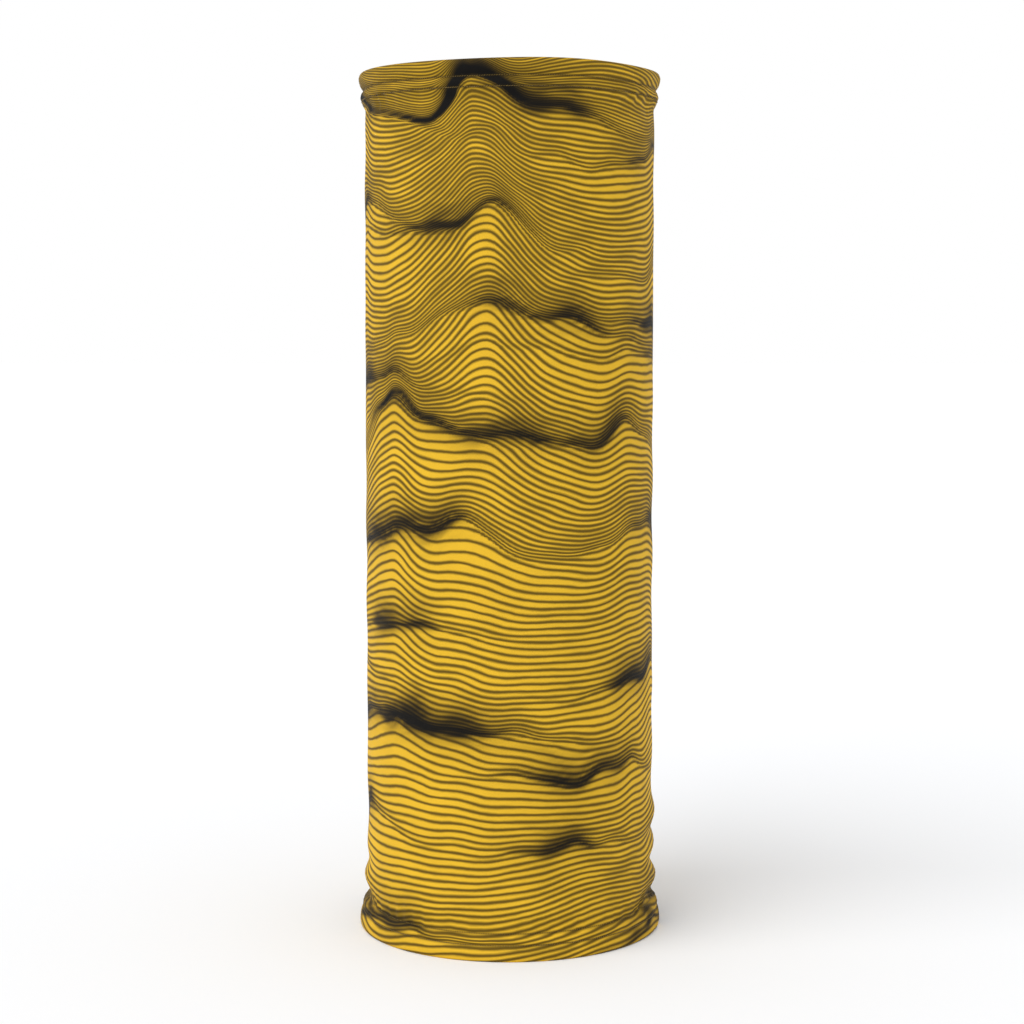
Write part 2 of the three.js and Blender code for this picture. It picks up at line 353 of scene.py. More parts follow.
def strand(bm, points, radius, sides=6):
    """A thread along points in metres, thinner and closed at its ends. Returns its geometry."""
    path = [Vector(p) for p in points]
    ways = [(path[min(i + 1, len(path) - 1)] - path[max(i - 1, 0)]).normalized() for i in range(len(path))]
    turns = [way.to_track_quat("Z", "Y").to_matrix().to_4x4() for way in ways]
    thick = [radius * (0.55 if i in (0, len(path) - 1) else 1.0) for i in range(len(path))]
    places = [Matrix.Translation(p) @ turn @ Matrix.Scale(t, 4) for p, turn, t in zip(path, turns, thick)]
    ring = bmesh.ops.create_circle(bm, cap_ends=False, radius=1.0, segments=sides, matrix=places[0])["verts"]
    edges = list({e for v in ring for e in v.link_edges})
    made = set(ring)
    ends = [edges]
    for before, after in zip(places, places[1:]):
        out = bmesh.ops.extrude_edge_only(bm, edges=edges)["geom"]
        ring = [g for g in out if isinstance(g, bmesh.types.BMVert)]
        edges = [e for e in out if isinstance(e, bmesh.types.BMEdge) and all(v in ring for v in e.verts)]
        bmesh.ops.transform(bm, matrix=after @ before.inverted(), verts=ring)
        made.update(ring)
    ends.append(edges)
    for loop in ends:
        bmesh.ops.contextual_create(bm, geom=loop)
    faces = {f for v in made for f in v.link_faces}
    bmesh.ops.recalc_face_normals(bm, faces=list(faces))
    return list(made) + list({e for f in faces for e in f.edges}) + list(faces)


def repeat_round(bm, geom, count):
    """Copies geometry count times, evenly round the tube's axis."""
    bmesh.ops.spin(
        bm,
        geom=geom,
        cent=(0, 0, 0),
        axis=(0, 0, 1),
        dvec=(0, 0, 0),
        angle=FULL_TURN * (count - 1) / count,
        steps=count - 1,
        use_merge=False,
        use_normal_flip=False,
        use_duplicate=True,
    )


def repeat_up(bm, geom, pitch, count):
    """Copies geometry count times up the tube, pitch millimetres apart."""
    for k in range(1, count):
        copy = bmesh.ops.duplicate(bm, geom=geom)["geom"]
        verts = [g for g in copy if isinstance(g, bmesh.types.BMVert)]
        bmesh.ops.translate(bm, vec=(0, 0, k * pitch * MM), verts=verts)


def raise_ribbon(bm, outline, low, high, rows, thickness):
    """A ribbon of cloth from low to high, whose cross-section follows (around, inset) points."""
    verts = [bm.verts.new(on_tube(around, inset, low)) for around, inset in outline]
    edges = [bm.edges.new(pair) for pair in zip(verts, verts[1:])]
    faces = []
    for _ in range(rows):
        out = bmesh.ops.extrude_edge_only(bm, edges=edges)["geom"]
        moved = {g for g in out if isinstance(g, bmesh.types.BMVert)}
        bmesh.ops.translate(bm, vec=(0, 0, (high - low) / rows * MM), verts=list(moved))
        faces += [g for g in out if isinstance(g, bmesh.types.BMFace)]
        edges = [g for g in out if isinstance(g, bmesh.types.BMEdge) and all(v in moved for v in g.verts)]
    bmesh.ops.recalc_face_normals(bm, faces=faces)
    bmesh.ops.solidify(bm, geom=faces, thickness=thickness * MM)


# ---------------------------------------------------------------------------------------------
# Shader node groups
# ---------------------------------------------------------------------------------------------

KNIT_COLUMN = 0.78  # width of a column of stitches, in millimetres
KNIT_COURSE = 0.62  # height of a course, in millimetres
KNIT_RELIEF = 0.00012  # depth of the stitches, in metres


def new_group(name, inputs, outputs):
    """A shader node group with its sockets. inputs are (name, type, default)."""
    group = bpy.data.node_groups.new(name, "ShaderNodeTree")
    for label, kind, default in inputs:
        socket = group.interface.new_socket(label, in_out="INPUT", socket_type=kind)
        if default is not None:
            socket.default_value = default
    for label, kind in outputs:
        group.interface.new_socket(label, in_out="OUTPUT", socket_type=kind)
    return group, group.nodes.new("NodeGroupInput"), group.nodes.new("NodeGroupOutput")


def math_node(tree, operation, *values, clamp=False):
    """A Math node whose inputs are sockets or numbers. Returns its output."""
    made = tree.nodes.new("ShaderNodeMath")
    made.operation = operation
    made.use_clamp = clamp
    for socket, value in zip(made.inputs, values):
        if isinstance(value, (int, float)):
            socket.default_value = value
        else:
            tree.links.new(value, socket)
    return made.outputs[0]


def one_minus(tree, value, clamp=False):
    return math_node(tree, "SUBTRACT", 1.0, value, clamp=clamp)


def scaled(tree, vector, scale):
    """A vector or colour multiplied by a number or a socket."""
    made = tree.nodes.new("ShaderNodeVectorMath")
    made.operation = "SCALE"
    if isinstance(vector, bpy.types.NodeSocket):
        tree.links.new(vector, made.inputs[0])
    else:
        made.inputs[0].default_value = vector[:3]
    if isinstance(scale, bpy.types.NodeSocket):
        tree.links.new(scale, made.inputs["Scale"])
    else:
        made.inputs["Scale"].default_value = scale
    return made.outputs[0]


def ramp_between(tree, value, low, high, to_low, to_high):
    """Carries a value smoothly from low..high to to_low..to_high."""
    made = tree.nodes.new("ShaderNodeMapRange")
    made.interpolation_type = "SMOOTHSTEP"
    for label, number in (("From Min", low), ("From Max", high), ("To Min", to_low), ("To Max", to_high)):
        made.inputs[label].default_value = number
    tree.links.new(value, made.inputs["Value"])
    return made.outputs["Result"]


def mix_colour(tree, factor, a, b):
    """A colour between a and b, which are sockets or colours."""
    made = tree.nodes.new("ShaderNodeMix")
    made.data_type = "RGBA"
    tree.links.new(factor, made.inputs["Factor"])
    for label, value in (("A", a), ("B", b)):
        socket = [s for s in made.inputs if s.name == label and s.type == "RGBA"][0]
        if isinstance(value, (tuple, list)):
            socket.default_value = (*value[:3], 1)
        else:
            tree.links.new(value, socket)
    return [s for s in made.outputs if s.type == "RGBA"][0]


def noise(tree, vector, scale, detail=2.0, rough=0.5):
    made = tree.nodes.new("ShaderNodeTexNoise")
    made.inputs["Scale"].default_value = scale
    made.inputs["Detail"].default_value = detail
    made.inputs["Roughness"].default_value = rough
    tree.links.new(vector, made.inputs["Vector"])
    return made.outputs["Fac"]


def attribute(tree, name):
    made = tree.nodes.new("ShaderNodeAttribute")
    made.attribute_name = name
    return made.outputs["Fac"]


def line_print_group():
    """Draws the printed lines from the count of lines, their closeness and the shadow."""
    group, given, out = new_group(
        "Line Print",
        [
            ("Count", "NodeSocketFloat", 0.0),
            ("Closeness", "NodeSocketFloat", 0.3),
            ("Shadow", "NodeSocketFloat", 0.0),
            ("Wobble", "NodeSocketFloat", 0.5),
            ("Streak", "NodeSocketFloat", 0.5),
            ("Half Width", "NodeSocketFloat", 1.35),
            ("Strength", "NodeSocketFloat", 0.8),
        ],
        [("Ink", "NodeSocketFloat")],
    )
    count, closeness, shadow, wobble, streak, half_width, strength = given.outputs[:7]
    part = math_node(group, "FRACT", math_node(group, "MULTIPLY_ADD", wobble, 0.16, count))
    from_middle = math_node(group, "ABSOLUTE", math_node(group, "SUBTRACT", part, 0.5))
    spacing = math_node(group, "DIVIDE", 1.0, math_node(group, "MAXIMUM", closeness, 0.02))
    distance = math_node(group, "MULTIPLY", math_node(group, "SUBTRACT", 0.5, from_middle), spacing)
    half = math_node(group, "MINIMUM", half_width, math_node(group, "MULTIPLY", spacing, 0.64))
    half = math_node(group, "MULTIPLY", half, ramp_between(group, streak, 0.25, 0.75, 0.78, 1.3))
    line = ramp_between(group, math_node(group, "DIVIDE", distance, half), 0.1, 1.0, 1.0, 0.0)
    line = math_node(group, "MULTIPLY", line, strength)
    crowd = ramp_between(group, closeness, 0.5, 1.7, 0.0, 1.0)
    clear = math_node(group, "MULTIPLY", one_minus(group, line), one_minus(group, crowd))
    clear = math_node(group, "MULTIPLY", clear, one_minus(group, shadow))
    group.links.new(one_minus(group, clear, clamp=True), out.inputs["Ink"])
    return group


def painted_stitch_shade_group():
    """Painted shade along a row of stitches: small dark dots a stitch apart where the needle went through,
    in a band of painted shade along the furrow that the row pulls in.
    """
    group, given, out = new_group(
        "Painted Stitch Shade",
        [
            ("Vector", "NodeSocketVector", None),
            ("Row", "NodeSocketFloat", 10.0),
            ("Pitch", "NodeSocketFloat", 1.25),
        ],
        [("Shade", "NodeSocketFloat")],
    )
    split = group.nodes.new("ShaderNodeSeparateXYZ")
    group.links.new(given.outputs["Vector"], split.inputs[0])
    pitch = given.outputs["Pitch"]
    stitch = math_node(group, "FRACT", math_node(group, "DIVIDE", split.outputs["X"], pitch))
    along = math_node(group, "MULTIPLY", math_node(group, "SUBTRACT", stitch, 0.5), pitch)
    across = math_node(group, "SUBTRACT", split.outputs["Y"], given.outputs["Row"])
    squares = [math_node(group, "MULTIPLY", side, side) for side in (along, across)]
    away = math_node(group, "SQRT", math_node(group, "ADD", *squares))
    # painted shade: dark at each needle's dot, and fainter across the furrow beside the row
    hole_shade = ramp_between(group, away, 0.1, 0.55, 0.9, 0.0)
    groove_shade = ramp_between(group, math_node(group, "ABSOLUTE", across), 0.0, 1.4, 0.5, 0.0)
    group.links.new(math_node(group, "MAXIMUM", hole_shade, groove_shade), out.inputs["Shade"])
    return group


def knit_group():
    """Plain jersey: columns of V-shaped stitches. Gives their height, and a tone from fibre to fibre."""
    group, given, out = new_group(
        "Jersey Knit",
        [
            ("Vector", "NodeSocketVector", None),
            ("Column", "NodeSocketFloat", 0.75),
            ("Course", "NodeSocketFloat", 0.6),
        ],
        [("Height", "NodeSocketFloat"), ("Tone", "NodeSocketFloat")],
    )
    split = group.nodes.new("ShaderNodeSeparateXYZ")
    group.links.new(given.outputs["Vector"], split.inputs[0])
    across = math_node(group, "DIVIDE", split.outputs["X"], given.outputs["Column"])
    from_middle = math_node(group, "SUBTRACT", math_node(group, "FRACT", across), 0.5)
    in_column = math_node(group, "ABSOLUTE", from_middle)
    up = math_node(group, "DIVIDE", split.outputs["Y"], given.outputs["Course"])
    leg = math_node(group, "MULTIPLY_ADD", in_column, -1.6, up)
    rope = math_node(group, "SINE", math_node(group, "MULTIPLY", leg, FULL_TURN))
    column = math_node(group, "SINE", math_node(group, "MULTIPLY", in_column, FULL_TURN))
    height = math_node(group, "MULTIPLY_ADD", rope, 0.35, math_node(group, "MULTIPLY", column, 0.65))
    group.links.new(height, out.inputs["Height"])
    fibre = noise(group, given.outputs["Vector"], 1.7, 3.0, 0.65)
    cloud = noise(group, given.outputs["Vector"], 0.045, 2.0, 0.5)
    fine = ramp_between(group, fibre, 0.25, 0.75, -0.6, 0.6)
    broad = ramp_between(group, cloud, 0.3, 0.7, -0.4, 0.4)
    tone = math_node(group, "ADD", fine, broad)
    group.links.new(tone, out.inputs["Tone"])
    return group


def use_group(tree, group, **values):
    """Places a node group. Values are sockets or numbers, named with _ for a space."""
    made = tree.nodes.new("ShaderNodeGroup")
    made.node_tree = group
    for label, value in values.items():
        socket = made.inputs[label.replace("_", " ")]
        if isinstance(value, (int, float)):
            socket.default_value = value
        else:
            tree.links.new(value, socket)
    return made


def new_material(name, roughness, sheen, sheen_tint=(1, 1, 1)):
    """A material with a Principled shader. Returns it, its tree and the shader."""
    material = bpy.data.materials.new(name)
    material.use_nodes = True
    tree = material.node_tree
    shader = tree.nodes["Principled BSDF"]
    shader.inputs["Roughness"].default_value = roughness
    shader.inputs["Sheen Weight"].default_value = sheen
    shader.inputs["Sheen Roughness"].default_value = 0.45
    shader.inputs["Sheen Tint"].default_value = (*sheen_tint, 1)
    shader.inputs["Specular IOR Level"].default_value = 0.08
    return material, tree, shader


def add_bump(tree, shader, height, distance, strength):
    """Bends the shader's normal by a height. Returns the Bump node."""
    bump = tree.nodes.new("ShaderNodeBump")
    bump.inputs["Distance"].default_value = distance
    bump.inputs["Strength"].default_value = strength
    tree.links.new(height, bump.inputs["Height"])
    tree.links.new(bump.outputs["Normal"], shader.inputs["Normal"])
    return bump


def toned(tree, colour, tone, amount):
    """A colour made lighter and darker by a tone of about -1 to 1."""
    return scaled(tree, colour, math_node(tree, "MULTIPLY_ADD", tone, amount, 1.0))


def knit_material(settings, groups, rows, stitch):
    """Stretch knit: printed on its outer face, pale on the other with the print showing through."""
    material, tree, shader = new_material("printed_knit", 0.62, 0.015, (1.0, 0.95, 0.85))
    uv = tree.nodes.new("ShaderNodeUVMap")
    uv.uv_map = "cloth"
    in_mm = scaled(tree, uv.outputs["UV"], 1 / MM)
    knit = use_group(tree, groups["knit"], Vector=in_mm, Column=KNIT_COLUMN, Course=KNIT_COURSE)
    wobble = noise(tree, in_mm, 0.12, 3.0, 0.6)
    count = attribute(tree, "line_count")
    split = tree.nodes.new("ShaderNodeSeparateXYZ")
    tree.links.new(in_mm, split.inputs[0])
    along_lines = tree.nodes.new("ShaderNodeCombineXYZ")
    tree.links.new(math_node(tree, "MULTIPLY", split.outputs["X"], 0.036), along_lines.inputs["X"])
    tree.links.new(math_node(tree, "MULTIPLY", count, 0.9), along_lines.inputs["Y"])
    ink = use_group(
        tree,
        groups["print"],
        Count=count,
        Streak=noise(tree, along_lines.outputs[0], 1.0, 2.0, 0.6),
        Closeness=attribute(tree, "line_closeness"),
        Shadow=attribute(tree, "print_shadow"),
        Wobble=wobble,
        Half_Width=settings.line_half_width,
        Strength=settings.line_strength,
    ).outputs["Ink"]
    face = mix_colour(tree, ink, tuple(settings.ground), tuple(settings.ink))
    ghost = math_node(tree, "MULTIPLY", ink, 0.16)
    back = mix_colour(tree, ghost, tuple(settings.reverse), tuple(settings.ground_through))
    colour = mix_colour(tree, attribute(tree, "printed_face"), back, face)
    # painted shade along each row of stitches, which darkens the colour to near black
    for row in rows:
        stitch_shade = use_group(tree, groups["stitch_shade"], Vector=in_mm, Row=row, Pitch=stitch)
        colour = mix_colour(tree, stitch_shade.outputs["Shade"], colour, (0.02, 0.015, 0.006))
    colour = toned(tree, colour, knit.outputs["Tone"], 0.07)
    # painted shade in the hollows between the knit's stitches and painted light on their tops: the colour
    # follows the stitches' height
    colour = toned(tree, colour, knit.outputs["Height"], 0.05)
    tree.links.new(colour, shader.inputs["Base Color"])
    tree.links.new(ramp_between(tree, knit.outputs["Tone"], -1, 1, 0.56, 0.7), shader.inputs["Roughness"])
    add_bump(tree, shader, knit.outputs["Height"], KNIT_RELIEF, 0.55)
    return material


def thread_material(name, colour):
    """Textured polyester thread, with its twist as fine slanted ridges."""
    material, tree, shader = new_material(name, 0.5, 0.25)
    place = tree.nodes.new("ShaderNodeTexCoord").outputs["Object"]
    mapping = tree.nodes.new("ShaderNodeMapping")
    mapping.inputs["Rotation"].default_value = (0.4, 0.6, 0.3)
    tree.links.new(place, mapping.inputs["Vector"])
    twist = tree.nodes.new("ShaderNodeTexWave")
    twist.inputs["Scale"].default_value = 1500.0
    twist.inputs["Distortion"].default_value = 1.5
    tree.links.new(mapping.outputs["Vector"], twist.inputs["Vector"])
    fuzz = noise(tree, place, 900.0, 2.0, 0.6)
    shade = toned(tree, colour, ramp_between(tree, fuzz, 0.3, 0.7, -1, 1), 0.28)
    tree.links.new(shade, shader.inputs["Base Color"])
    add_bump(tree, shader, twist.outputs["Fac"], 0.00006, 0.6)
    return material


def ribbon_material(colour):
    """Woven satin ribbon: fine cross ribs with a soft shine."""
    material, tree, shader = new_material("label_ribbon", 0.38, 0.15)
    place = tree.nodes.new("ShaderNodeTexCoord").outputs["Object"]
    ribs = tree.nodes.new("ShaderNodeTexWave")
    ribs.bands_direction = "Z"
    ribs.inputs["Scale"].default_value = 900.0
    ribs.inputs["Distortion"].default_value = 0.4
    tree.links.new(place, ribs.inputs["Vector"])
    grain = noise(tree, place, 1200.0, 3.0, 0.6)
    shade = toned(tree, colour, ramp_between(tree, grain, 0.3, 0.7, -1, 1), 0.06)
    tree.links.new(shade, shader.inputs["Base Color"])
    add_bump(tree, shader, ribs.outputs["Fac"], 0.00005, 0.5)
    return material


_shared = {}


def shared(kind, make):
    """A group or material that several pieces use, made the first time it is asked for."""
    if kind not in _shared:
        _shared[kind] = make()
    return _shared[kind]


def groups():
    return {
        "print": shared("print group", line_print_group),
        "knit": shared("knit group", knit_group),
        "stitch_shade": shared("holes group", painted_stitch_shade_group),
    }


# ---------------------------------------------------------------------------------------------
# Settings
# ---------------------------------------------------------------------------------------------


class GaiterShape(bpy.types.PropertyGroup):
    """How the cloth stands."""

    cloth: bpy.props.FloatProperty(
        name="Cloth", description="Thickness of the knit, in millimetres", default=0.7, min=0.2, max=3.0
    )
    fold_depth: bpy.props.FloatProperty(
        name="Slack", description="Depth of the slack folds, as a share of their drawn size", default=1.0
    )
    pucker_depth: bpy.props.FloatProperty(
        name="Puckers", description="Depth of the ripples beside the stitches, in millimetres", default=0.22
    )


class GaiterPrint(bpy.types.PropertyGroup):
    """The printed pattern."""

    line_half_width: bpy.props.FloatProperty(
        name="Half width",
        description="From a line's middle to where it has faded out, in millimetres",
        default=1.45,
    )
    line_strength: bpy.props.FloatProperty(
        name="Strength",
        description="How much of the ground a single line hides",
        default=0.84, subtype="FACTOR",
    )
    ground: bpy.props.FloatVectorProperty(
        name="Ground",
        description="Colour between the lines",
        default=(0.77, 0.46, 0.028), subtype="COLOR",
    )
    ink: bpy.props.FloatVectorProperty(
        name="Ink",
        description="Colour of the lines and shadows",
        default=(0.006, 0.0055, 0.005), subtype="COLOR",
    )
    reverse: bpy.props.FloatVectorProperty(
        name="Reverse",
        description="Colour of the unprinted face",
        default=(0.80, 0.78, 0.70), subtype="COLOR",
    )
    ground_through: bpy.props.FloatVectorProperty(
        name="Show-through",
        description="Colour of the lines seen from the reverse",
        default=(0.36, 0.32, 0.24),
        subtype="COLOR",
    )


class GaiterThread(bpy.types.PropertyGroup):
    """The sewing threads."""

    diameter: bpy.props.FloatProperty(
        name="Diameter", description="Thickness of the thread, in millimetres", default=0.3, min=0.1
    )
    stitch: bpy.props.FloatProperty(
        name="Hem stitch", description="Length of a hem stitch, in millimetres", default=1.25, min=0.5
    )
    seam_stitch: bpy.props.FloatProperty(
        name="Seam stitch", description="Length of an overlock stitch, in millimetres", default=2.4, min=0.5
    )
    colour: bpy.props.FloatVectorProperty(
        name="Colour", description="Colour of the thread", default=(0.2, 0.125, 0.02), subtype="COLOR"
    )
    inner_colour: bpy.props.FloatVectorProperty(
        name="Inner colour", description="Colour of the threads inside the tube", default=(0.74, 0.66, 0.46),
        subtype="COLOR",
    )


class GaiterLabel(bpy.types.PropertyGroup):
    """The care label."""

    colour: bpy.props.FloatVectorProperty(
        name="Ribbon", description="Colour of the blank ribbon", default=(0.82, 0.81, 0.77), subtype="COLOR"
    )


class GaiterStage(bpy.types.PropertyGroup):
    """Floor, light and camera."""

    distance: bpy.props.FloatProperty(
        name="Distance", description="From the tube's axis to the camera", default=1.1193, unit="LENGTH"
    )
    eye_height: bpy.props.FloatProperty(
        name="Eye height", description="Height of the camera", default=0.318, unit="LENGTH"
    )
    tilt: bpy.props.FloatProperty(
        name="Tilt", description="How far the camera looks down", default=0.082, unit="ROTATION"
    )
    key: bpy.props.FloatProperty(name="Key", description="Strength of the soft key light", default=1.35)
    fill: bpy.props.FloatProperty(
        name="Fill", description="Strength of the light from all round", default=0.83
    )


# ---------------------------------------------------------------------------------------------
# Pieces
# ---------------------------------------------------------------------------------------------

HEMS = {"top_hem": lambda from_fold: HEIGHT - from_fold, "bottom_hem": lambda from_fold: from_fold}
COLUMNS = 262  # of the cloth's mesh, round the tube
SLIT = 0.01  # between the panel's two edges at the back
ALLOWANCE = 6.0  # from the back seam to the cloth's cut edges
LABEL_BEND = 0.45  # radius of the label's fold
LABEL_THICKNESS = 0.16  # of the ribbon


def panel_outline(cloth):
    """The folded cloth's cross-section: (inset, height, along the cloth, 1 on the printed face)."""
    gap = STEP - cloth
    bend = cloth + gap / 2  # the fold's outer radius
    inner_bend = gap / 2
    turned = STEP + cloth
    top = HEIGHT - bend

    def arc(radius, base, up, steps):
        """Round a fold, from the wall's side to the turned layer's."""
        sign = 1 if up else -1
        angles = np.linspace(0, math.pi, steps + 1)[1:-1]
        return [
            (bend - radius * math.cos(a), base + sign * radius * math.sin(a), base + sign * radius * a)
            for a in angles
        ]

    def levels(stops):
        """Heights from stop to stop, at each stop's own spacing."""
        found = []
        for (low, _), (high, spacing) in zip(stops, stops[1:]):
            steps = max(1, round(abs(high - low) / spacing))
            found += list(np.linspace(low, high, steps, endpoint=False))
        return found + [stops[-1][0]]

    wall = levels([(bend, 0), (20, 1.15), (120, 2.05), (top - 20, 2.15), (top, 1.15)])
    # close enough together to follow the wall's gathers, or the lining would show through it
    lining = levels([(bend, 0), (22, 2.4), (120, 5.0), (top - 22, 7.0), (top, 2.4)])
    flap = levels([(bend, 0), (HEM_DEPTH, 2.0)])
    around_fold = math.pi * bend

    printed = [(turned, h, bend - around_fold - (h - bend)) for h in reversed(flap)]
    printed += reversed(arc(bend, bend, False, 7))
    printed += [(0, h, h) for h in wall]
    printed += arc(bend, top, True, 7)
    printed += [(turned, HEIGHT - h, top + around_fold + (h - bend)) for h in flap]
    plain = [(STEP, HEIGHT - h, top + around_fold + (h - bend)) for h in reversed(flap)]
    plain += reversed(arc(inner_bend, top, True, 3))
    plain += [(cloth, h, h) for h in reversed(lining)]
    plain += arc(inner_bend, bend, False, 3)
    plain += [(STEP, h, bend - around_fold - (h - bend)) for h in flap]
    return [(*p, 1.0) for p in printed] + [(*p, 0.0) for p in plain]


def closer_at_seam(around):
    """Draws the columns together towards the back seam, where the cloth turns sharply inwards."""
    edge = HALF_ROUND - SLIT / 2
    from_seam = edge - np.abs(around)
    drawn = from_seam * (from_seam + 3.0) / (from_seam + 10.0)
    drawn = drawn * edge / (edge * (edge + 3.0) / (edge + 10.0))
    return np.sign(around) * (edge - drawn)


class GAITER_OT_knit_panel(bpy.types.Operator):
    """Makes the printed tube with both hems turned in."""

    bl_idname = "gaiter.knit_panel"
    bl_label = "Knit Panel"

    def execute(self, context):
        shape, pattern = context.scene.gaiter_shape, context.scene.gaiter_print
        bm = bmesh.new()
        along_layer = bm.verts.layers.float.new("along_cloth")
        face_layer = bm.verts.layers.float.new("printed_face")
        edge = HALF_ROUND - SLIT / 2
        loop = []
        for inset, height, along, printed in panel_outline(shape.cloth):
            vert = bm.verts.new(on_tube(-edge, inset, height))
            vert[along_layer] = along
            vert[face_layer] = printed
            loop.append(vert)
        edges = [bm.edges.new((a, b)) for a, b in zip(loop, loop[1:] + loop[:1])]
        bmesh.ops.spin(
            bm,
            geom=loop + edges,
            cent=(0, 0, 0),
            axis=(0, 0, 1),
            dvec=(0, 0, 0),
            angle=2 * edge / RADIUS,
            steps=COLUMNS,
            use_merge=False,
            use_normal_flip=False,
            use_duplicate=False,
        )
        rows = [height(from_fold) for height in HEMS.values() for from_fold in (OUTER_ROW, INNER_ROW)]
        material = knit_material(pattern, groups(), rows, stitch_pitch(context.scene.gaiter_thread))
        panel = new_piece("knit_panel", bm, material)
        self.lay_out_cloth(panel)
        settle(panel, shape)
        self.close_ends(panel)
        attach(panel, "printed_knit", "body_panel")
        return {"FINISHED"}

    @staticmethod
    def close_ends(panel):
        """Closes the cloth's two ends at the back, inside the outline that they have once settled."""
        bm = bmesh.new()
        bm.from_mesh(panel.data)
        rims = [e for e in bm.edges if e.is_boundary]
        for side in (-1, 1):
            rim = [e for e in rims if side * e.verts[0].co.x > 0]
            caps = bmesh.ops.contextual_create(bm, geom=rim)["faces"]
            bmesh.ops.triangulate(bm, faces=caps, ngon_method="EAR_CLIP")
        bmesh.ops.recalc_face_normals(bm, faces=bm.faces)
        bm.to_mesh(panel.data)
        bm.free()

    @staticmethod
    def lay_out_cloth(panel):
        """Moves the columns towards the seam, and stores the cloth's own coordinates and its print."""
        mesh = panel.data
        count = len(mesh.vertices)
        co = np.empty(count * 3)
        mesh.vertices.foreach_get("co", co)
        x, y, z = co.reshape(-1, 3).T
        radius = np.hypot(x, y)
        around = closer_at_seam(RADIUS * np.arctan2(x, -y))
        angle = around / RADIUS
        placed = np.stack([radius * np.sin(angle), -radius * np.cos(angle), z], 1)
        mesh.vertices.foreach_set("co", placed.astype(np.float32).ravel())

        along = np.empty(count)
        mesh.attributes["along_cloth"].data.foreach_get("value", along)
        lines, shadow = print_grid()
        across_cloth = np.gradient(lines, COLUMN_STEP, axis=1)
        up_cloth = np.gradient(lines, ROW_STEP, axis=0)
        closeness = np.hypot(across_cloth, up_cloth)
        for name, grid in (("line_count", lines), ("line_closeness", closeness), ("print_shadow", shadow)):
            values = on_grid(grid, around, along).astype(np.float32)
            mesh.attributes.new(name, "FLOAT", "POINT").data.foreach_set("value", values)

        corner = np.empty(len(mesh.loops), int)
        mesh.loops.foreach_get("vertex_index", corner)
        uv = np.stack([around[corner], along[corner]], 1) * MM
        mesh.uv_layers.new(name="cloth").data.foreach_set("uv", uv.astype(np.float32).ravel())
        mesh.attributes.remove(mesh.attributes["along_cloth"])
        mesh.update()


class GAITER_OT_seam_allowance(bpy.types.Operator):
    """Makes the two cut edges of the panel, turned inwards and pressed to one side at the back."""

    bl_idname = "gaiter.seam_allowance"
    bl_label = "Seam Allowance"

    def execute(self, context):
        shape = context.scene.gaiter_shape
        bm = bmesh.new()
        cloth = shape.cloth
        outer_layer = RADIUS - LOOPER_BAND[1].y + 0.6
        for inset, lean in ((outer_layer, 0.15), (outer_layer + STEP, -0.85)):
            # a leg from inside the wall, rounding into the flap
            path = [(lean + cloth / 2, 0.5), (lean + cloth / 2, inset - 0.3), (lean + 0.75, inset + 0.22)]
            path += [(s, inset + cloth / 2) for s in (1.4, 2.4, 3.4, 4.4, 5.3, ALLOWANCE)]
            outline = [(HALF_ROUND - s, at) for s, at in path]
            raise_ribbon(bm, outline, SEAM_LOW, SEAM_HIGH, rows=84, thickness=cloth)
        piece = new_piece("back_seam_allowances", bm, self.cut_cloth(context))
        settle(piece, shape)
        attach(piece, "printed_knit", "body_panel")
        return {"FINISHED"}

    @staticmethod
    def cut_cloth(context):
        """The knit's unprinted face, on a piece with no print of its own."""
        pattern = context.scene.gaiter_print
        material, tree, shader = new_material("plain_knit", 0.66, 0.3)
        place = tree.nodes.new("ShaderNodeTexCoord").outputs["Object"]
        in_mm = scaled(tree, place, 1 / MM)
        turned = tree.nodes.new("ShaderNodeMapping")
        turned.inputs["Rotation"].default_value = (math.radians(-90), 0, 0)
        tree.links.new(in_mm, turned.inputs["Vector"])
        at = turned.outputs["Vector"]
        knit = use_group(tree, groups()["knit"], Vector=at, Column=KNIT_COLUMN, Course=KNIT_COURSE)
        tree.links.new(toned(tree, pattern.reverse, knit.outputs["Tone"], 0.08), shader.inputs["Base Color"])
        add_bump(tree, shader, knit.outputs["Height"], KNIT_RELIEF, 0.55)
        return material


def stitch_pitch(thread):
    """A hem stitch's length, such that a whole number of them goes round."""
    return 2 * HALF_ROUND / round(2 * HALF_ROUND / thread.stitch)


class GAITER_OT_hem_stitches(bpy.types.Operator):
    """Makes the needle threads' two rows of stitches on the outside of each hem."""

    bl_idname = "gaiter.hem_stitches"
    bl_label = "Hem Stitches"

    def execute(self, context):
        shape, thread = context.scene.gaiter_shape, context.scene.gaiter_thread
        material = shared("thread", lambda: thread_material("hem_thread", thread.colour))
        pitch = stitch_pitch(thread)
        count = round(2 * HALF_ROUND / pitch)
        for hem, height in HEMS.items():
            for row, from_fold in (("outer", OUTER_ROW), ("inner", INNER_ROW)):
                middle = height(from_fold)
                # each stitch comes out of the cloth, leans across the row and goes back in
                path = [(-0.42, 0.25, -0.16), (-0.32, -0.10, -0.12), (0.0, -0.22, 0.0), (0.32, -0.10, 0.12),
                        (0.42, 0.25, 0.16)]
                points = [on_tube(a * pitch, inset, middle + h) for a, inset, h in path]
                bm = bmesh.new()
                repeat_round(bm, strand(bm, points, thread.diameter / 2 * MM), count)
                piece = new_piece(f"{hem}_stitches_{row}", bm, material)
                settle(piece, shape)
                attach(piece, "seam_thread", f"{hem}_needle_thread_{row}")
        return {"FINISHED"}


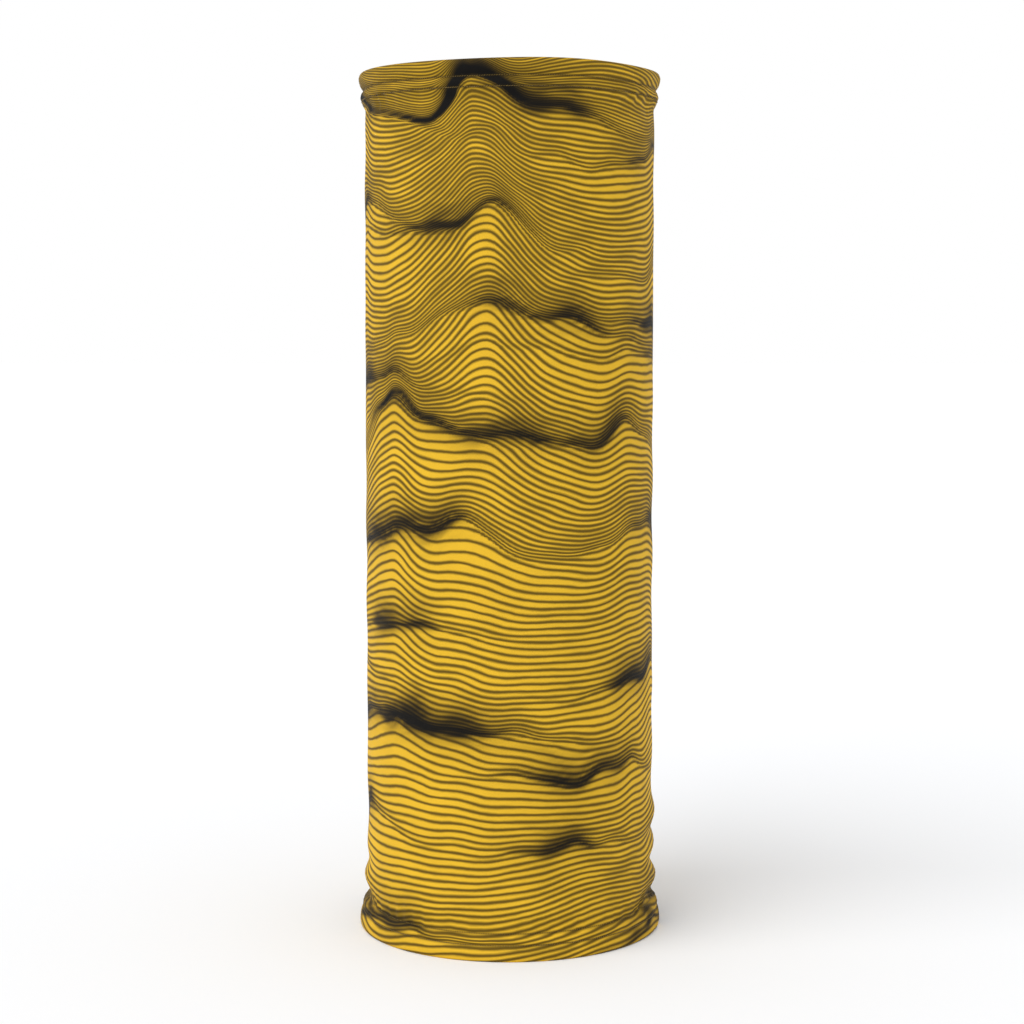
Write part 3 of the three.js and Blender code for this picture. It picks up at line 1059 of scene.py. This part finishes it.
class GAITER_OT_hem_loopers(bpy.types.Operator):
    """Makes the looper thread's web over the raw edge inside each hem."""

    bl_idname = "gaiter.hem_loopers"
    bl_label = "Hem Loopers"

    def execute(self, context):
        shape, thread = context.scene.gaiter_shape, context.scene.gaiter_thread
        material = shared("looper", lambda: thread_material("looper_thread", thread.inner_colour))
        count = round(HALF_ROUND / thread.stitch)
        pitch = 2 * HALF_ROUND / count
        over = STEP + shape.cloth + 0.2
        for hem, height in HEMS.items():
            low, high = OUTER_ROW, INNER_ROW
            # one thread crosses from row to row and back, and a short loop holds it at each row
            there = [(-0.5, over, low - 0.3), (-0.15, over + 0.3, low + 1.8), (0.15, over + 0.3, high - 1.8),
                     (0.5, over, high + 0.4)]
            back = [(0.5, over, low - 0.3), (0.15, over + 0.5, low + 1.8), (-0.15, over + 0.5, high - 1.8),
                    (-0.5, over, high + 0.4)]
            loop = [(-0.45, -0.25, -0.25), (0.0, 0.25, -0.1), (0.45, -0.25, 0.25)]
            loops = [[(a, over + inset, row + h) for a, inset, h in loop] for row in (low, high)]
            bm = bmesh.new()
            geom = []
            for path in (there, back, *loops):
                points = [on_tube(a * pitch, inset, height(h)) for a, inset, h in path]
                geom += strand(bm, points, thread.diameter / 2 * MM, 4)
            repeat_round(bm, geom, count)
            piece = new_piece(f"{hem}_looper_web", bm, material)
            settle(piece, shape)
            attach(piece, "seam_thread", f"{hem}_looper_thread")
        return {"FINISHED"}


class GAITER_OT_back_seam(bpy.types.Operator):
    """Makes the four threads of the overlock seam inside the back."""

    bl_idname = "gaiter.back_seam"
    bl_label = "Back Seam Threads"

    def execute(self, context):
        shape, thread = context.scene.gaiter_shape, context.scene.gaiter_thread
        material = shared("looper", lambda: thread_material("looper_thread", thread.inner_colour))
        pitch = thread.seam_stitch
        count = int((SEAM_HIGH - SEAM_LOW) / pitch)
        # insets of the threads on the allowances' inner face, and on the face towards the wall
        over = RADIUS - box_mm("back_seam_needle_thread_left")[1].y + 0.05
        under = RADIUS - LOOPER_BAND[1].y + 0.2
        left, right, edge = 1.2, 3.4, ALLOWANCE + 0.45
        meeting = (edge, over + 0.3, 0.5)  # of the two loopers, at the cut edges

        # one stitch of each thread, as (from the seam, inset, share of a stitch up)
        def needle_line(at):
            stitch = [
                (-0.1, 0.3, 0.0), (-0.12, 0.05, 0.25), (0, 0.15, 0.5), (0.12, 0.05, 0.78), (0.1, 0.3, 1.0)
            ]
            return [[(at + s, over + inset, up) for s, inset, up in stitch]]

        upper = [
            [(right, over + 0.05, 0.1), (4.4, over + 0.22, 0.22), (5.6, over + 0.18, 0.38), meeting],
            [(right, over + 0.05, 0.9), (4.4, over + 0.3, 0.8), (5.6, over + 0.2, 0.66), meeting],
        ]
        lower = [
            [(edge, over + 0.1, 0.5), (edge + 0.22, over + 0.8, 0.55), (edge + 0.25, under + 0.8, 0.6),
             (edge - 0.1, under + 0.1, 0.7), (5.0, under, 0.85), (left, under, 1.3)],
            [(left, under, 0.3), (5.0, under, 0.45), (edge - 0.1, under + 0.1, 0.5)],
        ]
        paths = {
            "left": ("back_seam_needle_thread_left", needle_line(left)),
            "right": ("back_seam_needle_thread_right", needle_line(right)),
            "upper": ("back_seam_upper_looper_thread", upper),
            "lower": ("back_seam_lower_looper_thread", lower),
        }
        for name, (node, strands) in paths.items():
            bm = bmesh.new()
            geom = []
            for path in strands:
                points = [on_tube(HALF_ROUND - s, inset, SEAM_LOW + up * pitch) for s, inset, up in path]
                geom += strand(bm, points, thread.diameter / 2 * MM, 5)
            repeat_up(bm, geom, pitch, count)
            piece = new_piece(f"back_seam_thread_{name}", bm, material)
            settle(piece, shape)
            attach(piece, "seam_thread", node)
        return {"FINISHED"}


class GAITER_OT_care_label(bpy.types.Operator):
    """Makes the blank folded care label beside the seam."""

    bl_idname = "gaiter.care_label"
    bl_label = "Care Label"

    def execute(self, context):
        shape, label = context.scene.gaiter_shape, context.scene.gaiter_label
        low, high = box_mm("care_label")
        root = 6.9
        far = math.asin(high.x / RADIUS) * RADIUS - LABEL_BEND - 0.15
        run = far - root

        def off_wall(s):
            """The inset of the label's first layer, which leans off the wall a little."""
            return 1.35 + 0.035 * (s - root)

        # along the wall, round the fold and back over itself, a little open between its ends
        steps = np.linspace(root, far, 12)
        path = [(s, off_wall(s)) for s in steps]
        for turn in np.linspace(0, math.pi, 7)[1:-1]:
            inset = off_wall(far) + LABEL_BEND * (1 - math.cos(turn))
            path.append((far + LABEL_BEND * math.sin(turn), inset))
        for s in reversed(steps):
            path.append((s, off_wall(s) + 2 * LABEL_BEND + 0.5 * math.sin(math.pi * (s - root) / run)))
        bm = bmesh.new()
        outline = [(HALF_ROUND - s, inset) for s, inset in path]
        raise_ribbon(bm, outline, low.z, high.z, rows=10, thickness=LABEL_THICKNESS)
        piece = new_piece("care_label_ribbon", bm, ribbon_material(label.colour))
        settle(piece, shape)
        attach(piece, "label_ribbon", "care_label")
        return {"FINISHED"}


class GAITER_OT_stage(bpy.types.Operator):
    """Makes the pale floor, the soft light and the camera."""

    bl_idname = "gaiter.stage"
    bl_label = "Stage"

    def execute(self, context):
        stage = context.scene.gaiter_stage
        self.floor()
        self.light(context, stage)
        self.camera(context, stage)
        context.scene.view_settings.view_transform = "Standard"
        return {"FINISHED"}

    @staticmethod
    def floor():
        bm = bmesh.new()
        bmesh.ops.create_grid(bm, x_segments=1, y_segments=1, size=30.0)
        material = bpy.data.materials.new("pale_floor")
        material.use_nodes = True
        shader = material.node_tree.nodes["Principled BSDF"]
        shader.inputs["Base Color"].default_value = (0.893, 0.903, 0.92, 1)
        shader.inputs["Roughness"].default_value = 1.0
        shader.inputs["Specular IOR Level"].default_value = 0.0
        new_piece("floor", bm, material, smooth=False)

    @staticmethod
    def light(context, stage):
        world = bpy.data.worlds.new("studio")
        context.scene.world = world
        world.use_nodes = True
        tree = world.node_tree
        background = tree.nodes["Background"]
        background.inputs["Color"].default_value = (1, 1, 1, 1)
        seen = tree.nodes.new("ShaderNodeLightPath").outputs["Is Camera Ray"]
        strength = math_node(tree, "MULTIPLY_ADD", seen, 1.0 - stage.fill, stage.fill)
        tree.links.new(strength, background.inputs["Strength"])
        sun = bpy.data.lights.new("soft_key", "SUN")
        sun.energy = stage.key
        sun.angle = math.radians(48)
        key = bpy.data.objects.new("soft_key", sun)
        key.rotation_euler = Vector((0.72, 0.62, -1.0)).to_track_quat("-Z", "Y").to_euler()
        context.scene.collection.objects.link(key)

    @staticmethod
    def camera(context, stage):
        camera = bpy.data.cameras.new("camera")
        camera.sensor_width = 36.0
        camera.lens = 72.35
        eye = bpy.data.objects.new("camera", camera)
        eye.location = (0.0012, -stage.distance, stage.eye_height)
        eye.rotation_euler = (math.pi / 2 - stage.tilt, 0, 0)
        context.scene.collection.objects.link(eye)
        context.scene.camera = eye


OPERATORS = (
    GAITER_OT_knit_panel,
    GAITER_OT_seam_allowance,
    GAITER_OT_hem_stitches,
    GAITER_OT_hem_loopers,
    GAITER_OT_back_seam,
    GAITER_OT_care_label,
    GAITER_OT_stage,
)
SETTINGS = {
    "gaiter_shape": GaiterShape,
    "gaiter_print": GaiterPrint,
    "gaiter_thread": GaiterThread,
    "gaiter_label": GaiterLabel,
    "gaiter_stage": GaiterStage,
}


class GAITER_PT_panel(bpy.types.Panel):
    """The gaiter's settings and its pieces."""

    bl_idname = "GAITER_PT_panel"
    bl_label = "Neck Gaiter"
    bl_space_type = "VIEW_3D"
    bl_region_type = "UI"
    bl_category = "Gaiter"

    def draw(self, context):
        for name, group in SETTINGS.items():
            box = self.layout.box()
            box.label(text=group.__doc__)
            for prop in group.__annotations__:
                box.prop(getattr(context.scene, name), prop)
        for operator in OPERATORS:
            self.layout.operator(operator.bl_idname)


def register():
    for cls in (*SETTINGS.values(), *OPERATORS, GAITER_PT_panel):
        bpy.utils.register_class(cls)
    for name, group in SETTINGS.items():
        setattr(bpy.types.Scene, name, bpy.props.PointerProperty(type=group))


def unregister():
    for name in SETTINGS:
        delattr(bpy.types.Scene, name)
    for cls in reversed((*SETTINGS.values(), *OPERATORS, GAITER_PT_panel)):
        bpy.utils.unregister_class(cls)


def declare_cloth():
    """Lists the pieces sewn to the panel, which is a sheet cut flat. Nothing is done with the list."""
    sewn = ["back_seam_allowances", "care_label_ribbon"]
    sewn += [f"{hem}_stitches_{row}" for hem in HEMS for row in ("outer", "inner")]
    sewn += [f"{hem}_looper_web" for hem in HEMS]
    sewn += [f"back_seam_thread_{name}" for name in ("left", "right", "upper", "lower")]


def main():
    register()
    bpy.ops.gaiter.knit_panel()
    bpy.ops.gaiter.seam_allowance()
    bpy.ops.gaiter.hem_stitches()
    bpy.ops.gaiter.hem_loopers()
    bpy.ops.gaiter.back_seam()
    bpy.ops.gaiter.care_label()
    bpy.ops.gaiter.stage()
    declare_cloth()


if __name__ == "__main__":
    main()
